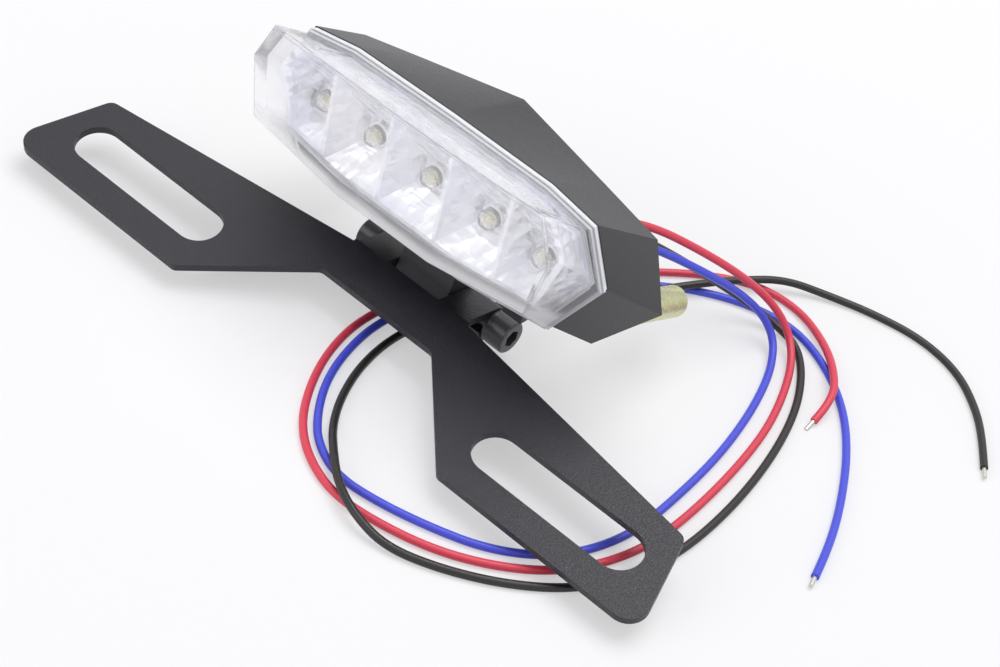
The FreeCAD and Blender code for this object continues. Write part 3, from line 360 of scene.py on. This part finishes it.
def colour_setting(name, description, code):
    """A colour that a user may change."""
    return FloatVectorProperty(
        name=name, description=description, subtype="COLOR", size=4, min=0, max=1, default=linear(code)
    )


def length_setting(name, description, millimetres):
    """A small length that a user may change."""
    return FloatProperty(
        name=name, description=description, default=millimetres * MM, min=0, unit="LENGTH", precision=5
    )


class TailLeadSettings(PropertyGroup):
    """The loose leads."""

    diameter: length_setting("Diameter", "Outside of the insulation", 2.0)
    red: colour_setting("Red lead", "Insulation of the first lead", "#da4055")
    blue: colour_setting("Blue lead", "Insulation of the second lead", "#4650d6")
    black: colour_setting("Black lead", "Insulation of the third lead", "#1f1c1b")


class TailFinishSettings(PropertyGroup):
    """How the rigid pieces are finished."""

    sheet_edge: length_setting("Sheet edge", "Edge rounding of the bracket", 0.45)
    shell_edge: length_setting("Shell edge", "Edge rounding of the shell", 0.45)
    coat: colour_setting("Powder coat", "Bracket colour", "#1b1b22")
    shell: colour_setting("Shell", "Housing colour", "#2c2c2f")
    zinc: colour_setting("Zinc", "Stud colour", "#dadca6")


class TailStageSettings(PropertyGroup):
    """The table, the light and the camera."""

    table: colour_setting("Table", "Colour of the table", "#f6f6f7")
    fade: FloatProperty(
        name="Fade", description="Share of the table that shows no shadow", default=0.5, min=0, max=1
    )
    sky: FloatProperty(name="Sky", description="Brightness of the surround", default=0.6, min=0)
    key: FloatProperty(name="Key", description="Power of the overhead light", default=8.5, unit="POWER")
    fill: FloatProperty(name="Fill", description="Power of the front light", default=3.0, unit="POWER")


class TAIL_OT_leads(Operator):
    """Lay the three leads from the lamp over the table to their bare ends"""

    bl_idname = "tail.leads"
    bl_label = "Lay leads"

    def execute(self, context):
        settings = context.scene.tail_leads
        for colour, route in LEAD_ROUTES.items():
            curve = self.lay(colour, route, settings.diameter)
            # Satin PVC: smooth, with a soft highlight along the lead
            curve.data.materials.append(grained(
                f"{colour.title()} PVC", getattr(settings, colour),
                shade=1.06, grain=1.4, depth=0.01, rough=(0.34, 0.44),
            ))
        return {"FINISHED"}

    def lay(self, colour, route, diameter):
        """One lead as a curve from the grommet to its bare end."""
        across, up = LEAD_PLACES[colour]
        mouth = rear_point(OUTLET[0] + across * LEAD_SPREAD, OUTLET[1] - up * LEAD_SPREAD)
        begin = mouth - REAR_OUT * LEAD_SUNK * MM
        points = [begin, mouth + REAR_OUT * LEAD_STRAIGHT * MM]
        points += [(Vector(point) - Vector((0, SEAT_BACK, TABLE_DROP))) * MM for point in route]
        data = bpy.data.curves.new(f"{colour}_lead", "CURVE")
        data.dimensions = "3D"
        spline = data.splines.new("NURBS")
        spline.points.add(len(points) - 1)
        for control, point in zip(spline.points, points):
            control.co = (*point, 1.0)
            # A curve's box counts its points' radii, so these hold the size and the bevel is one metre
            control.radius = diameter / 2
        spline.order_u = 3
        spline.use_endpoint_u = True
        spline.resolution_u = 8
        data.bevel_depth = 1.0
        data.bevel_resolution = 5
        data.use_fill_caps = True
        curve = bpy.data.objects.new(f"{colour}_lead", data)
        bpy.context.scene.collection.objects.link(curve)
        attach(curve, "lamp")
        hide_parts(f"{colour}_wire")
        return curve


class TAIL_OT_lamp(Operator):
    """Finish the shell, the lens and what shows through it"""

    bl_idname = "tail.lamp"
    bl_label = "Finish lamp"

    def execute(self, context):
        settings = context.scene.tail_finish
        # Satin moulded ABS: a dark shell that greys softly where it faces the light
        paint("lamp_housing", grained(
            "Black ABS", settings.shell, shade=1.15, grain=0.45, depth=0.008, rough=(0.4, 0.52)
        ))
        soften("lamp_housing", settings.shell_edge)
        # Polished polycarbonate: shows the cells behind it, with painted pale edge lines in place of the
        # light caught at its edges, and a hazy lower wall.
        # Its IOR is low, because a solid wall's real one darkens what the thin cap leaves clear
        paint("lens", glassy(
            "Clear polycarbonate", linear("#fefeff"), ior=1.06, clear=0.93, rough=0.008, moulded=True
        ))
        paint("reflector", self.mirror())
        # Translucent silicone: a pale line under the lens's rim
        paint("lens_gasket", grained(
            "White silicone", linear("#e6e7ea"), shade=1.03, grain=0.6, depth=0.01, rough=(0.45, 0.6)
        ))
        # Rubber: matt and nearly black
        paint("wire_grommet", grained(
            "Black rubber", linear("#171717"), shade=1.2, grain=0.3, depth=0.01, rough=(0.6, 0.75)
        ))
        soften("wire_grommet", GROMMET_EDGE * MM)
        # Solder mask over glass cloth: green and slightly uneven
        paint("circuit_board", grained(
            "Solder mask", linear("#11451f"), shade=1.15, grain=0.8, depth=0.01, rough=(0.3, 0.4)
        ))
        # Water-clear epoxy: a bright bead that shows its core
        paint("leds", glassy("LED epoxy", linear("#fbfaf4"), ior=1.25, clear=0.85, rough=0.02))
        # Moulded epoxy on the board's parts: matt black
        chip = grained(
            "Component moulding", linear("#191919"), shade=1.15, grain=0.4, depth=0.01, rough=(0.4, 0.5)
        )
        paint("resistors", chip)
        paint("diode", chip)
        return {"FINISHED"}

    def mirror(self):
        """Metallised plastic: a bright, slightly wavy mirror with a faint lavender and gold bloom."""
        material, tree, place = new_material("Metallised plastic")
        # Bloom in patches about 14 mm across
        bloom = add_node(tree, "ShaderNodeTexNoise", {
            "Vector": place, "Scale": per_mm(14.0), "Detail": 1.0,
        }).outputs[0]
        tint = add_node(tree, "ShaderNodeMix", {
            0: bloom, 6: linear("#eeeffc"), 7: linear("#f8f7f3"),
        }, data_type="RGBA").outputs[2]
        # Waves about 5 mm across
        waves = add_node(tree, "ShaderNodeTexNoise", {
            "Vector": place, "Scale": per_mm(5.0), "Detail": 1.0,
        }).outputs[0]
        polish = add_node(tree, "ShaderNodeMapRange", {
            "Value": waves, "From Min": NOISE_LOW, "From Max": NOISE_HIGH, "To Min": 0.05, "To Max": 0.12,
        }).outputs[0]
        # Cut facets about 3.5 mm across and half a millimetre deep
        facets = add_node(tree, "ShaderNodeTexVoronoi", {
            "Vector": place, "Scale": per_mm(3.5),
        }, distance="MANHATTAN").outputs["Distance"]
        surface = add_node(tree, "ShaderNodeBump", {
            "Height": facets, "Distance": 0.5 * MM, "Strength": 1.0,
        }).outputs[0]
        shader = add_node(tree, "ShaderNodeBsdfPrincipled", {
            "Base Color": tint, "Metallic": 0.55, "Roughness": polish, "Normal": surface,
        })
        add_node(tree, "ShaderNodeOutputMaterial", {"Surface": shader.outputs[0]})
        return material


class TAIL_OT_lights(Operator):
    """Put a bright cup with a phosphor square inside each light, and a collar round it"""

    bl_idname = "tail.lights"
    bl_label = "Fill lights"

    def execute(self, context):
        low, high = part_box("leds")
        middle = (low[2] + high[2]) / 2
        place = Vector((0, low[1] + DOME_RADIUS * CUP_SEAT * MM, middle))
        cup = self.cup(place)
        phosphor = self.phosphor(place)
        collar = self.collar(Vector((0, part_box("reflector")[0][1] + CELL_DEPTH * MM, middle)))
        # Silver-plated cup: bright all round the phosphor
        silver = grained(
            "Silver plating", linear("#e4e4e2"), shade=1.03, grain=0.5, depth=0.005, rough=(0.2, 0.35),
            metallic=0.8,
        )
        # Phosphor in silicone: matt and warm yellow
        yellow = grained(
            "Phosphor", linear("#e6d678"), shade=1.05, grain=0.2, depth=0.01, rough=(0.5, 0.6)
        )
        # White plastic collar: fills the opening round the dome
        white = grained(
            "White acetal", linear("#e9e9ec"), shade=1.02, grain=0.8, depth=0.005, rough=(0.4, 0.5)
        )
        for piece, finish in ((cup, silver), (phosphor, yellow), (collar, white)):
            piece.data.materials.append(finish)
            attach(piece, "lamp")
        return {"FINISHED"}

    def disc(self, radius, place, vertices):
        """A flat disc that faces the front, open in edit mode with all of it selected."""
        bpy.ops.object.select_all(action="DESELECT")
        bpy.ops.mesh.primitive_circle_add(
            vertices=vertices, radius=radius * MM, fill_type="NGON", location=place,
            rotation=(math.pi / 2, 0, 0),
        )
        bpy.ops.object.mode_set(mode="EDIT")
        bpy.ops.mesh.select_all(action="SELECT")
        return bpy.context.active_object

    def walled(self, piece, thickness):
        """Leaves edit mode and gives the sheet its wall."""
        bpy.ops.object.mode_set(mode="OBJECT")
        wall = piece.modifiers.new("Wall", "SOLIDIFY")
        wall.thickness = thickness * MM
        only(piece)
        bpy.ops.object.modifier_apply(modifier=wall.name)
        bpy.ops.object.shade_smooth_by_angle(angle=SMOOTH_BELOW)

    def repeated(self, piece, name):
        """The same piece in every light, as one mesh at the origin."""
        copies = []
        for across in LIGHT_PLACES:
            only(piece)
            bpy.ops.object.duplicate()
            copy = bpy.context.active_object
            copy.location.x = across * MM
            copies.append(copy)
        bpy.data.objects.remove(piece)
        bpy.ops.object.select_all(action="DESELECT")
        for copy in copies:
            copy.select_set(True)
        bpy.context.view_layer.objects.active = copies[0]
        bpy.ops.object.join()
        bpy.ops.object.transform_apply(location=True, rotation=True, scale=True)
        joined = bpy.context.active_object
        joined.name = name
        joined.data.name = name
        return joined

    def cup(self, place):
        """A shallow dish that opens to the front."""
        dish = self.disc(CUP_RADIUS, place, vertices=32)
        bpy.ops.mesh.inset(thickness=CUP_LIP * MM)
        bpy.ops.mesh.inset(thickness=CUP_SLOPE * MM, depth=-CUP_DEPTH * MM)
        self.walled(dish, CUP_WALL)
        return self.repeated(dish, "led_cups")

    def phosphor(self, place):
        """A rounded square in the bottom of the cup."""
        bpy.ops.object.select_all(action="DESELECT")
        seat = place + Vector((0, PHOSPHOR_SEAT * MM, 0))
        bpy.ops.mesh.primitive_cube_add(size=PHOSPHOR_SIDE * MM, location=seat)
        square = bpy.context.active_object
        bpy.ops.object.mode_set(mode="EDIT")
        bpy.ops.mesh.select_all(action="SELECT")
        bpy.ops.transform.resize(value=(1.0, PHOSPHOR_THICKNESS, 1.0))
        bpy.ops.mesh.bevel(offset=PHOSPHOR_ROUND * MM, segments=2)
        bpy.ops.object.mode_set(mode="OBJECT")
        return self.repeated(square, "led_phosphor")

    def collar(self, place):
        """A shallow cone between the dome and the edge of its opening."""
        ring = self.disc(COLLAR_RADIUS, place, vertices=48)
        width = COLLAR_RADIUS - DOME_RADIUS - COLLAR_GAP
        bpy.ops.mesh.inset(thickness=width * MM, depth=COLLAR_CONE * MM)
        bpy.ops.mesh.delete(type="FACE")
        self.walled(ring, COLLAR_WALL)
        return self.repeated(ring, "led_collars")


class TAIL_OT_metal(Operator):
    """Finish the bracket, the hinge and the studs"""

    bl_idname = "tail.metal"
    bl_label = "Finish metal"

    def execute(self, context):
        settings = context.scene.tail_finish
        # Textured powder coat: a dark grey sheen with small sparkles, drawn a little coarser to show
        paint("plate_bracket", grained(
            "Black powder coat", settings.coat, shade=1.6, grain=0.42, depth=0.11, rough=(0.3, 0.6)
        ))
        soften("plate_bracket", settings.sheet_edge)
        # Black oxide: darker and shinier than the coat
        oxide = grained(
            "Black oxide steel", linear("#505054"), shade=1.15, grain=0.2, depth=0.004, rough=(0.3, 0.42),
            metallic=0.3,
        )
        paint("hinge_screws", oxide)
        paint("hinge_washers", oxide)
        soften("hinge_screws", SCREW_EDGE * MM)
        soften("hinge_washers", WASHER_EDGE * MM)
        # Turned brass in the knuckle: yellow and fairly shiny
        paint("knuckle_inserts", grained(
            "Brass", linear("#b99546"), shade=1.06, grain=0.6, depth=0.004, rough=(0.25, 0.35), metallic=1.0
        ))
        # Bright zinc on the board screws: pale and fairly shiny
        paint("board_screws", grained(
            "Bright zinc", linear("#c0c3c7"), shade=1.05, grain=0.6, depth=0.004, rough=(0.25, 0.35),
            metallic=1.0,
        ))
        # Yellow passivated zinc: a brassy skin that shifts between green and gold
        paint("mounting_studs", self.turned(settings.zinc))
        soften("mounting_studs", STUD_EDGE * MM)
        # Tinned copper strands at the leads' ends: pale and a little dull
        tin = grained(
            "Tinned copper", linear("#d0cec6"), shade=1.05, grain=0.3, depth=0.01, rough=(0.25, 0.4),
            metallic=1.0,
        )
        for colour in LEAD_ROUTES:
            paint(f"{colour}_strands", tin)
        return {"FINISHED"}

    def turned(self, colour):
        """Yellow passivated zinc over fine turning lines, brighter and duller in patches."""
        material, tree, place = new_material("Yellow zinc")
        along = add_node(tree, "ShaderNodeMapping", {
            "Vector": place, "Rotation": (REAR_LEAN, 0, 0),
        }).outputs[0]
        lines = add_node(tree, "ShaderNodeTexWave", {
            "Vector": along, "Scale": 2 * math.pi / (WAVE_RATE * TURNING_PITCH * MM), "Distortion": 0.4,
        }, bands_direction="Y").outputs["Fac"]
        surface = add_node(tree, "ShaderNodeBump", {
            "Height": lines, "Distance": 0.012 * MM, "Strength": 1.0,
        }).outputs[0]
        # Patches about 2 mm across
        patches = add_node(tree, "ShaderNodeTexNoise", {
            "Vector": place, "Scale": per_mm(2.2), "Detail": 3.0,
        }).outputs[0]
        tint = add_node(tree, "ShaderNodeMix", {
            0: patches, 6: shaded(colour, 0.8), 7: shaded(colour, 1.1),
        }, data_type="RGBA").outputs[2]
        polish = add_node(tree, "ShaderNodeMapRange", {
            "Value": patches, "From Min": NOISE_LOW, "From Max": NOISE_HIGH, "To Min": 0.2, "To Max": 0.32,
        }).outputs[0]
        shader = add_node(tree, "ShaderNodeBsdfPrincipled", {
            "Base Color": tint, "Metallic": 1.0, "Roughness": polish, "Normal": surface,
        })
        add_node(tree, "ShaderNodeOutputMaterial", {"Surface": shader.outputs[0]})
        return material


class TAIL_OT_stage(Operator):
    """Set the lamp on a white table under soft light, seen from the front right"""

    bl_idname = "tail.stage"
    bl_label = "Set stage"

    def execute(self, context):
        settings = context.scene.tail_stage
        bpy.ops.object.select_all(action="DESELECT")
        bpy.ops.mesh.primitive_plane_add(size=TABLE_SIDE, location=(0, 0, -TABLE_DROP * MM))
        table = context.active_object
        table.name = "Table"
        table.data.materials.append(self.paper(settings.table, settings.fade))
        context.scene.world = self.tent(settings.sky)
        self.lamp("Overhead softbox", OVERHEAD_PLACE, OVERHEAD_WIDTH, settings.key)
        self.lamp("Front softbox", FRONT_PLACE, FRONT_WIDTH, settings.fill)
        self.camera(context.scene)
        context.scene.view_settings.view_transform = "Standard"
        return {"FINISHED"}

    def looked_at(self, tree):
        """1 for a look at the background, also by mirror or through glass, 0 for light from it."""
        ray = add_node(tree, "ShaderNodeLightPath").outputs
        either = add_node(tree, "ShaderNodeMath", {
            0: ray["Is Camera Ray"], 1: ray["Is Glossy Ray"],
        }, operation="MAXIMUM").outputs[0]
        return add_node(tree, "ShaderNodeMath", {
            0: either, 1: ray["Is Transmission Ray"],
        }, operation="MAXIMUM").outputs[0]

    def tent(self, sky):
        """A surround that looks white and lights the lamp less."""
        world = bpy.data.worlds.new("Light tent")
        world.use_nodes = True
        tree = world.node_tree
        tree.nodes.clear()
        strength = add_node(tree, "ShaderNodeMapRange", {
            "Value": self.looked_at(tree), "To Min": sky, "To Max": 1.0,
        }).outputs[0]
        cloth = add_node(tree, "ShaderNodeBackground", {
            "Color": linear("#fdfdff"), "Strength": strength,
        })
        add_node(tree, "ShaderNodeOutputWorld", {"Surface": cloth.outputs[0]})
        return world

    def paper(self, colour, fade):
        """White table paper that shows soft shadows, as under a bright tent."""
        material, tree, _ = new_material("White paper")
        sheet = add_node(tree, "ShaderNodeBsdfDiffuse", {"Color": colour, "Roughness": 0.5})
        glow = add_node(tree, "ShaderNodeEmission", {"Color": colour, "Strength": 1.0})
        share = add_node(tree, "ShaderNodeMath", {
            0: self.looked_at(tree), 1: fade,
        }, operation="MULTIPLY").outputs[0]
        both = add_node(tree, "ShaderNodeMixShader", {
            0: share, 1: sheet.outputs[0], 2: glow.outputs[0],
        })
        add_node(tree, "ShaderNodeOutputMaterial", {"Surface": both.outputs[0]})
        return material

    def lamp(self, name, place, width, power):
        """A square soft light at a place, turned towards the middle of the scene."""
        turn = (-Vector(place)).to_track_quat("-Z", "Y").to_euler()
        bpy.ops.object.light_add(type="AREA", location=place, rotation=turn)
        light = bpy.context.active_object
        light.name = name
        light.data.size = width
        light.data.energy = power

    def camera(self, scene):
        """The photograph's view, from the front right and above, tilted clockwise."""
        bpy.ops.object.camera_add()
        camera = bpy.context.active_object
        camera.data.sensor_width = CAMERA_SENSOR
        camera.data.lens = CAMERA_LENS
        back = CAMERA_RIGHT.cross(CAMERA_UP)
        turn = Matrix((CAMERA_RIGHT, CAMERA_UP, back)).transposed().to_4x4()
        camera.matrix_world = Matrix.Translation(CAMERA_PLACE) @ turn
        camera.data.clip_start = 0.01
        scene.camera = camera


class TAIL_PT_panel(Panel):
    """Sizes and buttons for the tail light"""

    bl_label = "Tail light"
    bl_idname = "TAIL_PT_panel"
    bl_space_type = "VIEW_3D"
    bl_region_type = "UI"
    bl_category = "Tail light"

    def draw(self, context):
        layout = self.layout
        for group in (context.scene.tail_leads, context.scene.tail_finish, context.scene.tail_stage):
            for name in group.__annotations__:
                layout.prop(group, name)
        for operator in (TAIL_OT_metal, TAIL_OT_lamp, TAIL_OT_lights, TAIL_OT_leads, TAIL_OT_stage):
            layout.operator(operator.bl_idname)


CLASSES = (
    TailLeadSettings, TailFinishSettings, TailStageSettings,
    TAIL_OT_metal, TAIL_OT_lamp, TAIL_OT_lights, TAIL_OT_leads, TAIL_OT_stage, TAIL_PT_panel,
)


def register():
    for each in CLASSES:
        bpy.utils.register_class(each)
    bpy.types.Scene.tail_leads = PointerProperty(type=TailLeadSettings)
    bpy.types.Scene.tail_finish = PointerProperty(type=TailFinishSettings)
    bpy.types.Scene.tail_stage = PointerProperty(type=TailStageSettings)


def unregister():
    del bpy.types.Scene.tail_stage
    del bpy.types.Scene.tail_finish
    del bpy.types.Scene.tail_leads
    for each in reversed(CLASSES):
        bpy.utils.unregister_class(each)


def main():
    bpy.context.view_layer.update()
    register()
    bpy.ops.tail.metal()
    bpy.ops.tail.lamp()
    bpy.ops.tail.lights()
    bpy.ops.tail.leads()
    bpy.ops.tail.stage()


if __name__ == "__main__":
    main()
